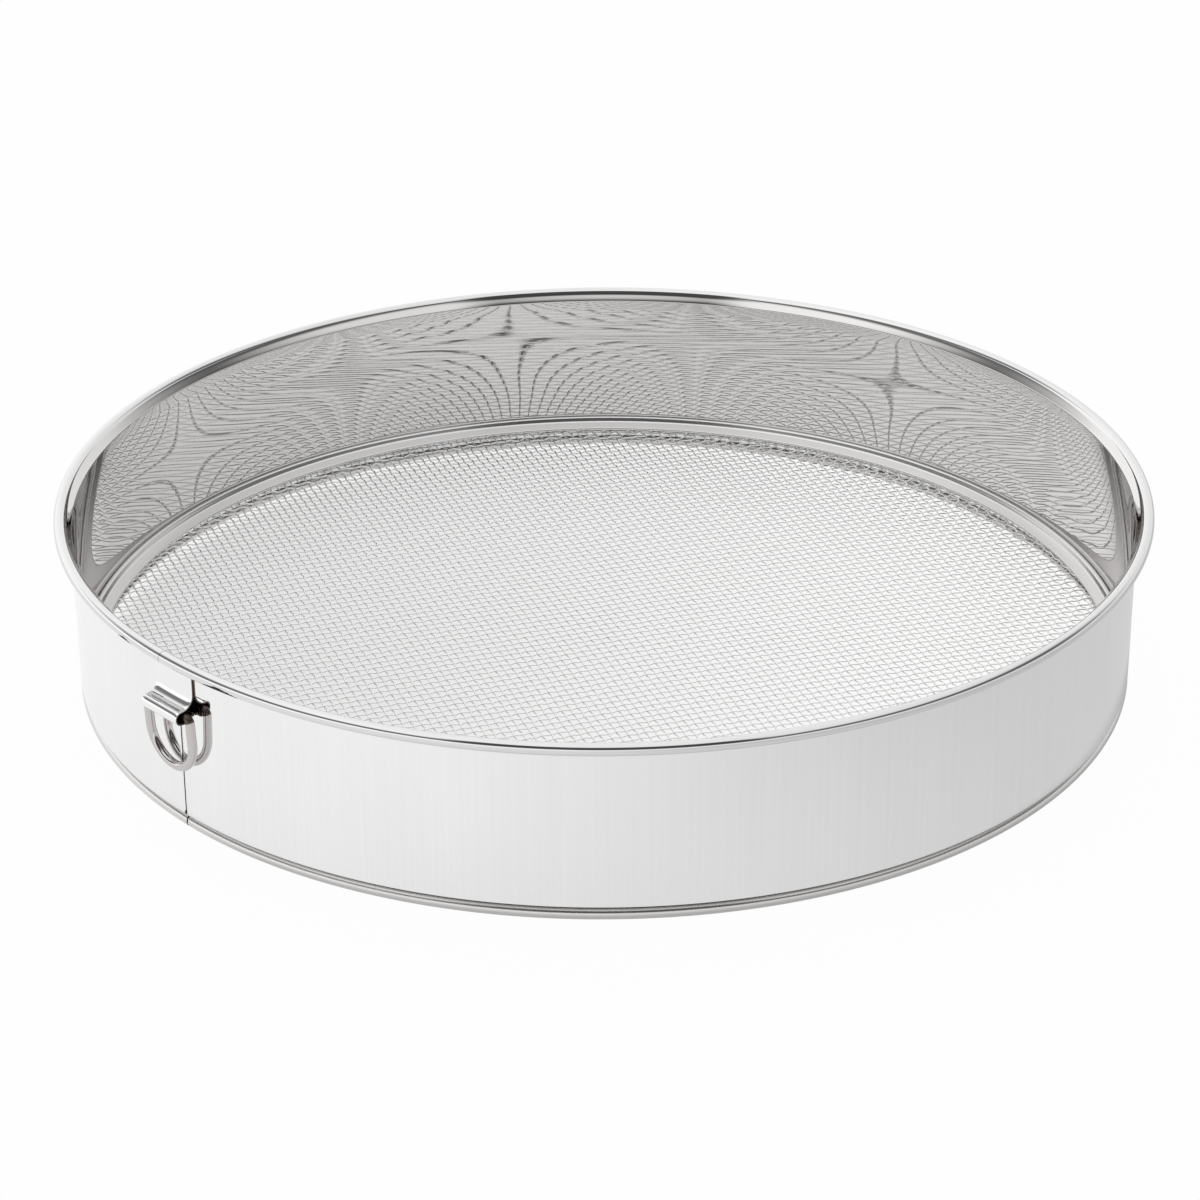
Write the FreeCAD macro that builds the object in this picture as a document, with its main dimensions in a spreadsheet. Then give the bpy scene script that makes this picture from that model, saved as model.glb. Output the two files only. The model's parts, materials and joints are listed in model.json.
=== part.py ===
import FreeCAD
import Part
import Sketcher
import math
import os
import re

Vector = FreeCAD.Vector

# Drum sieve: a rolled steel hoop with a woven wire cloth held near its lower edge, and a ring to hang it by.
# The origin is the centre of the circle that the drum stands on. +Z is up, and the hanger is on the -Y side.

# Driving sizes, in millimetres and degrees
SIZES = {
    # the hoop
    "wall_outer_radius": 200,
    "drum_height": 70,
    "sheet_thickness": 0.8,
    "curl_radius": 2.25,
    "curl_overhang": 6,
    "neck_height": 0.9,
    "hem_radius": 2,
    "foot_flat_depth": 0.15,
    "groove_width": 1.4,
    "seam_offset": 1.2,
    "seam_width": 0.5,
    "seam_depth": 0.4,
    # the wires inside the rolled edges
    "rim_wire_clearance": 0.1,
    # the woven cloth
    "cloth_thickness": 1.4,
    "cloth_edge_gap": 0.3,
    "cloth_angle": 67.8,
    "gap_pitch_along": 13.1,
    "gap_pitch_across": 38.3,
    "strand_width": 1.8,
    # the ring that clamps the cloth
    "clamp_fit_gap": 0.05,
    "clamp_width": 6.75,
    "clamp_rise": 5.15,
    "clamp_foot_width": 3,
    "shoulder_radius": 1.2,
    "nose_radius": 0.6,
    "nose_lift": 0.7,
    # the strap
    "strap_width": 20,
    "strap_thickness": 0.8,
    "strap_seat_gap": 0.05,
    "strap_tuck": 0.4,
    "strap_bend_radius": 4.6,
    "pivot_standoff": 3.7,
    "pivot_drop": 19.15,
    "hook_reach": 1.7,
    # the hanging ring
    "ring_wire_radius": 1.7,
    "ring_running_gap": 0.1,
    "ring_side_gap": 0.2,
    "ring_corner_radius": 2,
    "ring_length": 22.7,
    "ring_wall_gap": 0.9,
    # how far a cutting shape runs past what it cuts
    "overrun": 2,
}

# Sizes and places that follow from the driving ones
DERIVED = {
    "wall_inner_radius": "wall_outer_radius - sheet_thickness",
    "curl_bore_radius": "curl_radius - sheet_thickness",
    "curl_centre_radius": "wall_outer_radius + curl_overhang - curl_radius",
    "curl_centre_height": "drum_height - curl_radius",
    "neck_start_height": "curl_centre_height - neck_height",
    "neck_under_height": "neck_start_height - sheet_thickness",
    "neck_shift": "curl_centre_radius - curl_bore_radius - wall_outer_radius",
    "hem_bore_radius": "hem_radius - sheet_thickness",
    "hem_centre_radius": "wall_outer_radius - hem_radius",
    "hem_centre_height": "hem_radius - foot_flat_depth",
    "groove_outer_radius": "groove_width / 2 + sheet_thickness",
    "groove_centre_height": "hem_centre_height + hem_radius + groove_width / 2",
    "wall_low_height": "hem_centre_height + hem_radius + groove_width",
    "ledge_height": "wall_low_height + sheet_thickness",
    "cloth_top_height": "ledge_height + cloth_thickness",
    "clamp_outer_radius": "wall_inner_radius - clamp_fit_gap",
    "clamp_inner_radius": "clamp_outer_radius - clamp_width",
    "strap_inner_face": "wall_outer_radius + strap_seat_gap",
    "strap_outer_face": "strap_inner_face + strap_thickness",
    "tuck_height": "neck_under_height + strap_tuck",
    "tuck_shift": "neck_shift * strap_tuck / (neck_height + sheet_thickness)",
    "pivot_radius": "wall_outer_radius + pivot_standoff",
    "pivot_height": "curl_centre_height - pivot_drop",
    "hook_front_radius": "pivot_radius + hook_reach",
    "hook_bore_radius": "ring_wire_radius + ring_running_gap",
    "hook_radius": "hook_bore_radius + strap_thickness",
    "ring_bar_half": "strap_width / 2 + ring_side_gap",
    "ring_half_width": "ring_bar_half + ring_corner_radius",
    "ring_leg_length": "ring_length - ring_corner_radius - ring_half_width",
    "ring_lean_sine": "(pivot_standoff - ring_wire_radius - ring_wall_gap) / ring_length",
}

START, END, CENTRE = range(1, 4)
ORIGIN = (-1, 1)
UP = Vector(0, 0, 1)

doc = FreeCAD.newDocument("drum_sieve")
sheet = doc.addObject("Spreadsheet::Sheet", "Sizes")
for row, (alias, number) in enumerate(SIZES.items(), start=1):
    sheet.set(f"A{row}", alias)
    sheet.set(f"B{row}", str(number))
    sheet.setAlias(f"B{row}", alias)
doc.recompute()


def formula(text):
    """The expression for a sum of sizes, with every size written as its cell."""

    def put(match):
        word = match.group()
        if word in DERIVED:
            return "(" + formula(DERIVED[word]) + ")"
        return "Sizes." + word if word in SIZES else word

    return re.sub(r"[a-z_]+", put, text)


def size(text):
    """The number that a sum of sizes comes to."""
    return float(sheet.evalExpression(formula(text)))


def bind(target, **places):
    """Ties properties of an object to sums of sizes. A double underscore stands for a dot."""
    for place, text in places.items():
        target.setExpression(place.replace("__", "."), formula(text))


def new_body(label):
    body = doc.addObject("PartDesign::Body", label)
    body.Label = label
    return body


def new_sketch(body, name, role):
    """An empty sketch on one of the body's own origin planes."""
    sketch = body.newObject("Sketcher::SketchObject", name)
    plane = next(one for one in body.Origin.OriginFeatures if one.Role == role)
    sketch.AttachmentSupport = (plane, [""])
    sketch.MapMode = "FlatFace"
    return sketch


def line(sketch, start, end):
    return sketch.addGeometry(Part.LineSegment(Vector(*start, 0), Vector(*end, 0)), False)


def arc(sketch, centre, radius, start, end):
    """An arc from the angle start round to the angle end, anticlockwise, in degrees."""
    circle = Part.Circle(Vector(*centre, 0), UP, radius)
    return sketch.addGeometry(Part.ArcOfCircle(circle, math.radians(start), math.radians(end)), False)


def tie(sketch, kind, *places):
    sketch.addConstraint(Sketcher.Constraint(kind, *places))


def drive(sketch, kind, *places, by):
    """A dimension whose value is a sum of sizes."""
    index = sketch.addConstraint(Sketcher.Constraint(kind, *places, size(by)))
    sketch.setExpression(f"Constraints[{index}]", formula(by))


def join(sketch, *pairs):
    for first, second in pairs:
        tie(sketch, "Coincident", *first, *second)


def place_point(sketch, point, across, up):
    drive(sketch, "DistanceX", *ORIGIN, *point, by=across)
    drive(sketch, "DistanceY", *ORIGIN, *point, by=up)


def rectangle(sketch, left, right, low, high):
    """A closed rectangle between four sums of sizes."""
    x0, x1, y0, y1 = size(left), size(right), size(low), size(high)
    corners = [(x0, y0), (x1, y0), (x1, y1), (x0, y1)]
    sides = [line(sketch, corners[i], corners[(i + 1) % 4]) for i in range(4)]
    join(sketch, *[((sides[i], END), (sides[(i + 1) % 4], START)) for i in range(4)])
    for side, kind in zip(sides, ["Horizontal", "Vertical", "Horizontal", "Vertical"]):
        tie(sketch, kind, side)
    place_point(sketch, (sides[0], START), left, low)
    place_point(sketch, (sides[2], START), right, high)


def revolve(body, sketch, kind, name):
    feature = body.newObject(kind, name)
    feature.Profile = sketch
    feature.ReferenceAxis = (sketch, ["V_Axis"])
    feature.Angle = 360
    return feature


def expect_cut(before, after):
    """Stops the build if a cutting feature took nothing away."""
    if not after.Shape.Volume < before.Shape.Volume:
        raise RuntimeError(f"{after.Name} removes nothing")


# The hoop: one strip, rolled outward at the top and pressed in and rolled inward at the bottom
def hoop_outline(sketch):
    wall, inner = size("wall_outer_radius"), size("wall_inner_radius")
    curl = (size("curl_centre_radius"), size("curl_centre_height"))
    hem = (size("hem_centre_radius"), size("hem_centre_height"))
    groove = (hem[0], size("groove_centre_height"))
    curl_out, curl_in = size("curl_radius"), size("curl_bore_radius")
    hem_out, hem_in = size("hem_radius"), size("hem_bore_radius")
    groove_out, groove_in = size("groove_outer_radius"), size("groove_width / 2")
    neck, neck_under = size("neck_start_height"), size("neck_under_height")
    low, ledge = size("wall_low_height"), size("ledge_height")

    hem_end = line(sketch, (hem[0] - hem_out, hem[1]), (hem[0] - hem_in, hem[1]))
    hem_inside = arc(sketch, hem, hem_in, -180, 90)
    groove_inside = arc(sketch, groove, groove_out, 90, 270)
    ledge_top = line(sketch, (hem[0], ledge), (inner, ledge))
    wall_inside = line(sketch, (inner, ledge), (inner, neck))
    neck_inside = line(sketch, (inner, neck), (curl[0] - curl_out, curl[1]))
    curl_outside = arc(sketch, curl, curl_out, -90, 180)
    lip = line(sketch, (curl[0], curl[1] - curl_out), (curl[0], curl[1] - curl_in))
    curl_bore = arc(sketch, curl, curl_in, -90, 180)
    neck_outside = line(sketch, (curl[0] - curl_in, curl[1]), (wall, neck_under))
    wall_outside = line(sketch, (wall, neck_under), (wall, low))
    ledge_under = line(sketch, (wall, low), (hem[0], low))
    groove_outside = arc(sketch, groove, groove_in, 90, 270)
    hem_outside = arc(sketch, hem, hem_out, -180, 90)

    join(
        sketch,
        ((hem_end, END), (hem_inside, START)),
        ((hem_inside, END), (groove_inside, END)),
        ((groove_inside, START), (ledge_top, START)),
        ((ledge_top, END), (wall_inside, START)),
        ((wall_inside, END), (neck_inside, START)),
        ((neck_inside, END), (curl_outside, END)),
        ((curl_outside, START), (lip, START)),
        ((lip, END), (curl_bore, START)),
        ((curl_bore, END), (neck_outside, START)),
        ((neck_outside, END), (wall_outside, START)),
        ((wall_outside, END), (ledge_under, START)),
        ((ledge_under, END), (groove_outside, START)),
        ((groove_outside, END), (hem_outside, END)),
        ((hem_outside, START), (hem_end, START)),
        ((hem_inside, CENTRE), (hem_outside, CENTRE)),
        ((groove_inside, CENTRE), (groove_outside, CENTRE)),
        ((curl_outside, CENTRE), (curl_bore, CENTRE)),
    )
    for side in (wall_inside, wall_outside, lip):
        tie(sketch, "Vertical", side)
    for side in (hem_end, ledge_top, ledge_under):
        tie(sketch, "Horizontal", side)
    for bend in (hem_inside, hem_outside):
        tie(sketch, "Vertical", bend, END, bend, CENTRE)
    for bend in (groove_inside, groove_outside):
        tie(sketch, "Vertical", bend, START, bend, CENTRE)
    for bend in (curl_outside, curl_bore):
        tie(sketch, "Horizontal", bend, END, bend, CENTRE)
    tie(sketch, "Vertical", groove_inside, CENTRE, hem_inside, CENTRE)
    tie(sketch, "Horizontal", hem_end, START, hem_inside, CENTRE)
    tie(sketch, "Vertical", lip, START, curl_bore, CENTRE)

    place_point(sketch, (hem_inside, CENTRE), "hem_centre_radius", "hem_centre_height")
    place_point(sketch, (curl_bore, CENTRE), "curl_centre_radius", "curl_centre_height")
    drive(sketch, "Radius", hem_outside, by="hem_radius")
    drive(sketch, "Radius", hem_inside, by="hem_bore_radius")
    drive(sketch, "Radius", groove_inside, by="groove_outer_radius")
    drive(sketch, "Radius", curl_outside, by="curl_radius")
    drive(sketch, "Radius", curl_bore, by="curl_bore_radius")
    drive(sketch, "DistanceX", *ORIGIN, wall_outside, START, by="wall_outer_radius")
    drive(sketch, "DistanceX", *ORIGIN, wall_inside, START, by="wall_inner_radius")
    drive(sketch, "DistanceY", *ORIGIN, wall_outside, START, by="neck_under_height")
    drive(sketch, "DistanceY", *ORIGIN, wall_inside, END, by="neck_start_height")


hoop = new_body("drum_hoop")
hoop_profile = new_sketch(hoop, "hoop_profile", "XZ_Plane")
hoop_outline(hoop_profile)
hoop_strip = revolve(hoop, hoop_profile, "PartDesign::Revolution", "hoop_strip")

# The hem is pressed flat where the drum stands
foot_profile = new_sketch(hoop, "foot_profile", "XZ_Plane")
rectangle(foot_profile, "hem_centre_radius - hem_radius", "wall_outer_radius", "-overrun", "0")
foot = revolve(hoop, foot_profile, "PartDesign::Groove", "foot")

# The line where the strip's ends meet, cut from the outside
seam_profile = new_sketch(hoop, "seam_profile", "XZ_Plane")
bind(seam_profile, AttachmentOffset__Base__z="wall_outer_radius - seam_depth")
seam_sides = ("seam_offset - seam_width / 2", "seam_offset + seam_width / 2")
rectangle(seam_profile, *seam_sides, "-overrun", "neck_under_height")
seam = hoop.newObject("PartDesign::Pocket", "seam")
seam.Profile = seam_profile
seam.Reversed = True
bind(seam, Length="seam_depth + overrun")
doc.recompute()
expect_cut(hoop_strip, foot)
expect_cut(foot, seam)


# The wires that the two edges are rolled over
def rim_wire(label, radius, bore, height):
    wire = doc.addObject("Part::Torus", label)
    wire.Label = label
    bind(wire, Radius1=radius, Radius2=f"{bore} - rim_wire_clearance", Placement__Base__z=height)
    return wire


top_wire = rim_wire("top_rim_wire", "curl_centre_radius", "curl_bore_radius", "curl_centre_height")
bottom_wire = rim_wire("bottom_rim_wire", "hem_centre_radius", "hem_bore_radius", "hem_centre_height")


# The cloth: a flat net in one holed face, each strand for several wires, with a whole border under the clamp
def cloth_gaps(reach):
    """The outlines of the net's gaps, each cut off where it would run past the reach."""
    pitch_along, pitch_across = size("gap_pitch_along"), size("gap_pitch_across")
    strand = size("strand_width")
    along, across = pitch_along - strand, pitch_across - strand
    turn = FreeCAD.Rotation(UP, size("cloth_angle"))
    open_disc = Part.Face(Part.Wire(Part.makeCircle(reach)))
    columns, rows = math.ceil(reach / pitch_along), math.ceil(reach / pitch_across)
    outlines = []
    for column in range(-columns, columns + 1):
        for row in range(-rows, rows + 1):
            middle = Vector(column * pitch_along, row * pitch_across, 0)
            corners = [
                turn.multVec(middle + Vector(along * x, across * y, 0) / 2)
                for x, y in [(-1, -1), (1, -1), (1, 1), (-1, 1), (-1, -1)]
            ]
            gap = Part.Face(Part.makePolygon(corners))
            if max(corner.Length for corner in corners) > reach:
                gap = gap.common(open_disc)
            outlines += [face.OuterWire for face in gap.Faces if face.Area > strand * strand]
    return outlines


cloth = doc.addObject("Part::Feature", "mesh_cloth")
cloth.Label = "mesh_cloth"
cloth_edge = Part.Wire(Part.makeCircle(size("wall_inner_radius - cloth_edge_gap")))
cloth_reach = size("clamp_inner_radius")
net = Part.Face([cloth_edge] + cloth_gaps(cloth_reach), "Part::FaceMakerBullseye")
cloth.Shape = net.extrude(UP * size("cloth_thickness"))
cloth.Placement.Base = UP * size("ledge_height")


# The clamping ring: a foot on the cloth, a rounded shoulder at the wall and a slope to a rounded nose
def clamp_outline(sketch):
    outer, foot_height = size("clamp_outer_radius"), size("cloth_top_height")
    round_out, round_in = size("shoulder_radius"), size("nose_radius")
    shoulder_at = (outer - round_out, foot_height + size("clamp_rise") - round_out)
    nose_at = (size("clamp_inner_radius") + round_in, foot_height + size("nose_lift") + round_in)
    heel = (outer - size("clamp_foot_width"), foot_height)
    across, drop = shoulder_at[0] - nose_at[0], shoulder_at[1] - nose_at[1]
    tilt = math.atan2(drop, across) - math.asin((round_out - round_in) / math.hypot(across, drop))
    slope = 90 + math.degrees(tilt)
    to_heel = math.atan2(heel[1] - nose_at[1], heel[0] - nose_at[0])
    under = math.degrees(to_heel - math.acos(round_in / math.dist(heel, nose_at)))

    def at(centre, radius, angle):
        return (
            centre[0] + radius * math.cos(math.radians(angle)),
            centre[1] + radius * math.sin(math.radians(angle)),
        )

    sole = line(sketch, heel, (outer, foot_height))
    back = line(sketch, (outer, foot_height), (outer, shoulder_at[1]))
    shoulder = arc(sketch, shoulder_at, round_out, 0, slope)
    ramp = line(sketch, at(shoulder_at, round_out, slope), at(nose_at, round_in, slope))
    nose = arc(sketch, nose_at, round_in, slope, under + 360)
    underside = line(sketch, at(nose_at, round_in, under), heel)
    join(sketch, ((sole, END), (back, START)), ((underside, END), (sole, START)))
    for first, second in [(back, shoulder), (shoulder, ramp), (nose, underside)]:
        tie(sketch, "Tangent", first, END, second, START)
    tie(sketch, "Tangent", ramp, END, nose, START)
    tie(sketch, "Horizontal", sole)
    tie(sketch, "Vertical", back)
    place_point(sketch, (back, START), "clamp_outer_radius", "cloth_top_height")
    drive(sketch, "DistanceX", sole, START, sole, END, by="clamp_foot_width")
    drive(sketch, "Radius", shoulder, by="shoulder_radius")
    drive(sketch, "Radius", nose, by="nose_radius")
    place_point(
        sketch,
        (nose, CENTRE),
        "clamp_inner_radius + nose_radius",
        "cloth_top_height + nose_lift + nose_radius",
    )
    drive(
        sketch,
        "DistanceY",
        *ORIGIN,
        shoulder,
        CENTRE,
        by="cloth_top_height + clamp_rise - shoulder_radius",
    )


clamp = new_body("mesh_clamp_ring")
clamp_profile = new_sketch(clamp, "clamp_profile", "XZ_Plane")
clamp_outline(clamp_profile)
revolve(clamp, clamp_profile, "PartDesign::Revolution", "clamp_section")


# The strap: tucked up along the neck, flat on the wall, bent out and rolled into a hook under the ring's bar
def strap_outline(sketch):
    inner, outer = size("strap_inner_face"), size("strap_outer_face")
    neck, top, shift = size("neck_under_height"), size("tuck_height"), size("tuck_shift")
    bend_in, bend_out = size("strap_bend_radius"), size("strap_bend_radius + strap_thickness")
    bore, roll = size("hook_bore_radius"), size("hook_radius")
    pivot = (size("pivot_radius"), size("pivot_height"))
    front = (size("hook_front_radius"), pivot[1])
    out = inner + bend_out - front[0]
    rise = math.sqrt((bend_out + bore) ** 2 - out**2)
    bend = (inner + bend_out, pivot[1] + rise)
    turn = math.degrees(math.atan2(rise, out))

    wall_side = line(sketch, (inner, neck), (inner, bend[1]))
    bend_under = arc(sketch, bend, bend_out, 180, 180 + turn)
    hook_bore = arc(sketch, front, bore, -90, turn)
    sole_bore = line(sketch, (front[0], front[1] - bore), (pivot[0], pivot[1] - bore))
    tip_bore = arc(sketch, pivot, bore, -180, -90)
    hook_end = line(sketch, (pivot[0] - bore, pivot[1]), (pivot[0] - roll, pivot[1]))
    tip_outside = arc(sketch, pivot, roll, -180, -90)
    sole_outside = line(sketch, (pivot[0], pivot[1] - roll), (front[0], front[1] - roll))
    hook_outside = arc(sketch, front, roll, -90, turn)
    bend_over = arc(sketch, bend, bend_in, 180, 180 + turn)
    free_side = line(sketch, (outer, bend[1]), (outer, neck))
    tuck_free = line(sketch, (outer, neck), (outer + shift, top))
    tuck_end = line(sketch, (outer + shift, top), (inner + shift, top))
    tuck_wall = line(sketch, (inner + shift, top), (inner, neck))

    join(
        sketch,
        ((hook_bore, START), (sole_bore, START)),
        ((sole_bore, END), (tip_bore, END)),
        ((tip_bore, START), (hook_end, START)),
        ((hook_end, END), (tip_outside, START)),
        ((tip_outside, END), (sole_outside, START)),
        ((sole_outside, END), (hook_outside, START)),
        ((tip_bore, CENTRE), (tip_outside, CENTRE)),
        ((free_side, END), (tuck_free, START)),
        ((tuck_free, END), (tuck_end, START)),
        ((tuck_end, END), (tuck_wall, START)),
        ((tuck_wall, END), (wall_side, START)),
        ((bend_under, CENTRE), (bend_over, CENTRE)),
        ((hook_bore, CENTRE), (hook_outside, CENTRE)),
    )
    tie(sketch, "Tangent", wall_side, END, bend_under, START)
    tie(sketch, "Tangent", bend_under, END, hook_bore, END)
    tie(sketch, "Tangent", hook_outside, END, bend_over, END)
    tie(sketch, "Tangent", bend_over, START, free_side, START)
    for side in (wall_side, free_side):
        tie(sketch, "Vertical", side)
    for side in (tuck_end, hook_end):
        tie(sketch, "Horizontal", side)
    for bend_arc in (hook_bore, hook_outside):
        tie(sketch, "Vertical", bend_arc, START, bend_arc, CENTRE)
    for bend_arc in (tip_bore, tip_outside):
        tie(sketch, "Vertical", bend_arc, END, bend_arc, CENTRE)
    tie(sketch, "Horizontal", hook_end, START, tip_bore, CENTRE)
    tie(sketch, "Equal", tip_bore, hook_bore)
    tie(sketch, "Equal", tip_outside, hook_outside)

    place_point(sketch, (wall_side, START), "strap_inner_face", "neck_under_height")
    place_point(sketch, (free_side, END), "strap_outer_face", "neck_under_height")
    place_point(sketch, (tuck_wall, START), "strap_inner_face + tuck_shift", "tuck_height")
    drive(sketch, "DistanceX", *ORIGIN, tuck_free, END, by="strap_outer_face + tuck_shift")
    place_point(sketch, (tip_bore, CENTRE), "pivot_radius", "pivot_height")
    place_point(sketch, (hook_bore, CENTRE), "hook_front_radius", "pivot_height")
    drive(sketch, "Radius", bend_over, by="strap_bend_radius")
    drive(sketch, "Radius", hook_bore, by="hook_bore_radius")


strap = new_body("hanger_strap")
strap_profile = new_sketch(strap, "strap_profile", "XZ_Plane")
strap_outline(strap_profile)
strap_band = strap.newObject("PartDesign::Pad", "strap_band")
strap_band.Profile = strap_profile
strap_band.SideType = "Symmetric"
bind(strap_band, Length="strap_width")
strap.Placement.Rotation = FreeCAD.Rotation(UP, -90)


# The hanging ring: a bar along X at the pivot, two legs and a half-round bottom, all of one wire
def ring_rod(name, axis, length, across, down):
    rod = doc.addObject("Part::Cylinder", name)
    bind(rod, Radius="ring_wire_radius", Height=length)
    rod.Placement.Rotation = FreeCAD.Rotation(UP, axis)
    bind(rod, Placement__Base__x=across, Placement__Base__z=down)
    return rod


def ring_bend(name, radius, start, sweep, across, down):
    """A bend in the XZ plane, from the angle start through sweep degrees, clockwise seen from -Y."""
    bend = doc.addObject("Part::Torus", name)
    bind(bend, Radius1=radius, Radius2="ring_wire_radius")
    bend.Angle3 = sweep
    flat = FreeCAD.Rotation(Vector(1, 0, 0), -90)
    bend.Placement.Rotation = flat.multiply(FreeCAD.Rotation(UP, start))
    bind(bend, Placement__Base__x=across, Placement__Base__z=down)
    return bend


leg_foot = "-ring_corner_radius - ring_leg_length"
bar_side, corner = Vector(1, 0, 0), "ring_corner_radius"
ring_pieces = [
    ring_rod("ring_bar", bar_side, "2 * ring_bar_half", "-ring_bar_half", "0"),
    ring_rod("ring_leg_right", UP, "ring_leg_length", "ring_half_width", leg_foot),
    ring_rod("ring_leg_left", UP, "ring_leg_length", "-ring_half_width", leg_foot),
    ring_bend("ring_corner_right", corner, 270, 90, "ring_bar_half", "-ring_corner_radius"),
    ring_bend("ring_corner_left", corner, 180, 90, "-ring_bar_half", "-ring_corner_radius"),
    ring_bend("ring_bottom", "ring_half_width", 0, 180, "0", leg_foot),
]
ring = doc.addObject("Part::MultiFuse", "hanging_ring")
ring.Label = "hanging_ring"
ring.Shapes = ring_pieces
# it leans in about its bar until its bottom is just clear of the wall
ring.Placement.Rotation = FreeCAD.Rotation(bar_side, 1)
bind(
    ring,
    Placement__Base__y="-pivot_radius",
    Placement__Base__z="pivot_height",
    Placement__Rotation__Angle="asin(ring_lean_sine)",
)

# Every object is checked before anything is written
doc.recompute()
for thing in doc.Objects:
    if "Invalid" in thing.State or "Error" in thing.State:
        raise RuntimeError(f"{thing.Name} failed: {thing.State}")
sub_parts = [hoop, top_wire, bottom_wire, cloth, clamp, strap, ring]
for piece in sub_parts:
    shape = piece.Shape
    if shape.isNull() or not shape.isValid() or len(shape.Solids) != 1:
        raise RuntimeError(f"{piece.Label} is not one valid solid")
os.makedirs("parts", exist_ok=True)
for piece in sub_parts:
    piece.Shape.exportStep(f"parts/{piece.Label}.step")
    box = piece.Shape.BoundBox
    print(piece.Label, round(piece.Shape.Volume, 1), [round(v, 3) for v in (*box.Center, *box.getPoint(0))])
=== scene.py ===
import json
import math

import bpy
import numpy as np
from mathutils import Matrix, Vector


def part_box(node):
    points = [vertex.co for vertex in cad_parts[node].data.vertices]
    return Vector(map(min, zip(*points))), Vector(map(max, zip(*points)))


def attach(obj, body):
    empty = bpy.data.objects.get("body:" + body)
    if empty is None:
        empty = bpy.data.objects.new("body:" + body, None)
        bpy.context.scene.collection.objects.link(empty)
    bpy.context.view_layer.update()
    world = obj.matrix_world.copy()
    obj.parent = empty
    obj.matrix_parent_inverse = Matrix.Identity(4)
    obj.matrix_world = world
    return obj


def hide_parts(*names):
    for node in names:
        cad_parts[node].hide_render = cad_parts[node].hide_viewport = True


# Drum sieve: a polished steel hoop, a woven wire cloth, the ring that clamps it, and a ring to hang it by.
# Sizes are in millimetres and degrees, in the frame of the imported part.
MM = 0.001

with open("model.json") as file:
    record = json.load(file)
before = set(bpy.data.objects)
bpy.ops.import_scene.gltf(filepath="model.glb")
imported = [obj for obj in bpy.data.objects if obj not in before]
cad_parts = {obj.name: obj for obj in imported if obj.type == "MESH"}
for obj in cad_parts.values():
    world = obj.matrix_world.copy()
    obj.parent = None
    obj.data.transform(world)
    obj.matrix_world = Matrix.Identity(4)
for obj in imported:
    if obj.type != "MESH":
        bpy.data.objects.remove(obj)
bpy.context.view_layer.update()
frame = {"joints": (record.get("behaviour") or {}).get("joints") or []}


def node_box(node):
    """The lowest and highest corner of a node, in millimetres."""
    low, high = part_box(node)
    return low / MM, high / MM


hoop_low, hoop_high = node_box("drum_hoop")
cloth_low, cloth_high = node_box("mesh_cloth")
clamp_low, clamp_high = node_box("mesh_clamp_ring")
strap_low, strap_high = node_box("hanger_strap")
swing = frame["joints"][0]
pivot = Vector(swing["pos_m"]) / MM

# How far a surface stays inside its solid, and how far inside one that fits closely in another
SKIN = 0.01
FIT_SKIN = 0.02
# Points of an outline that are closer than this are one point
SAME_POINT = 0.0001

# The hoop
SHEET = 0.8
RIM_RADIUS = min(-hoop_low.x, hoop_high.x, hoop_high.y)
DRUM_HEIGHT = hoop_high.z - SKIN
WALL_RADIUS = 200.0
CURL_RADIUS = 2.25
CURL_BORE_END = 206.0
NECK_SLOPE = 41.0
NECK_BEND = 1.0
NECK_END = 160.0
HEM_RADIUS = 2.25
HEM_FLAT = 0.15
GROOVE_WIDTH = 0.9
GROOVE_CORNER = 0.4
CORNER_ROUND = 0.12
HOOP_STEPS = 372
RIM_WIRE_STEPS = 300
# Slight waves in the sheet: where they begin, and their depth, count and start round the drum
WAVES_FROM = (14.0, 34.0)
WAVE_DEPTH = 0.04
WAVE_COUNT = 3
WAVE_START = 0.7
RIPPLE_DEPTH = 0.025
RIPPLE_COUNT = 11
RIPPLE_START = 1.9
RIPPLE_RISE = 23.0
# The seam of the strip's two ends, beside the hanger
HANGER_ANGLE = 270.0
SEAM_ACROSS = 1.2
SEAM_WIDTH = 1.2
SEAM_SPOT = 1.2
SEAM_DEPTH = 0.35
SEAM_REACH = 0.3
SEAM_LINE_SHARE = 0.4
SEAM_GROOVE_SHARES = (0.2, 0.55)
SEAM_STEP_SHARES = (0.2, 0.32, 0.5, 0.8, 1.2, 2.0)
SEAM_CLEAR_SHARE = 3
# Where the curl's two ends meet, and where painted shadow lies under its lip, as if it stood off the wall
CURL_JOINT = 269.7
CURL_JOINT_WIDTH = 0.2
LIP_SHADOWS = ((262.1, 265.0), (276.0, 280.6))
LIP_SHADOW_STEPS = 13
LIP_SHADOW_SHARE = 0.75

# The cloth: two sets of wires, named after the direction that each runs in
CLOTH_RADIUS = 198.9
CLOTH_SHARES = 3
WIRE_RADIUS = 0.34
WIRE_SIDES = 6
STEPS_PER_CROSSING = 4
LONG_WIRE_PITCH = 3.27
LONG_WIRE_ANGLE = 157.67
LONG_WIRE_CRIMP = 0.46
CROSS_WIRE_PITCH = 3.83
CROSS_WIRE_ANGLE = 67.67
CROSS_WIRE_CRIMP = 0.22
# Its free part, where it sags and dents and its wires drift and wander, each with its depth and lengths
FREE_UNTIL = (150.0, 190.0)
SAG_DEPTH = 0.18
SAG_LENGTHS = (31.0, 27.0)
SAG_STARTS = (0.6, 1.1)
DENT_DEPTH = 0.1
DENT_LENGTH = 17.0
DRIFT = 0.25
DRIFT_LENGTHS = (19.0, 23.0)
DRIFT_STARTS = (0.3, 1.7)
WANDER = 0.15
WANDER_LENGTHS = (7.3, 8.1)
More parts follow.
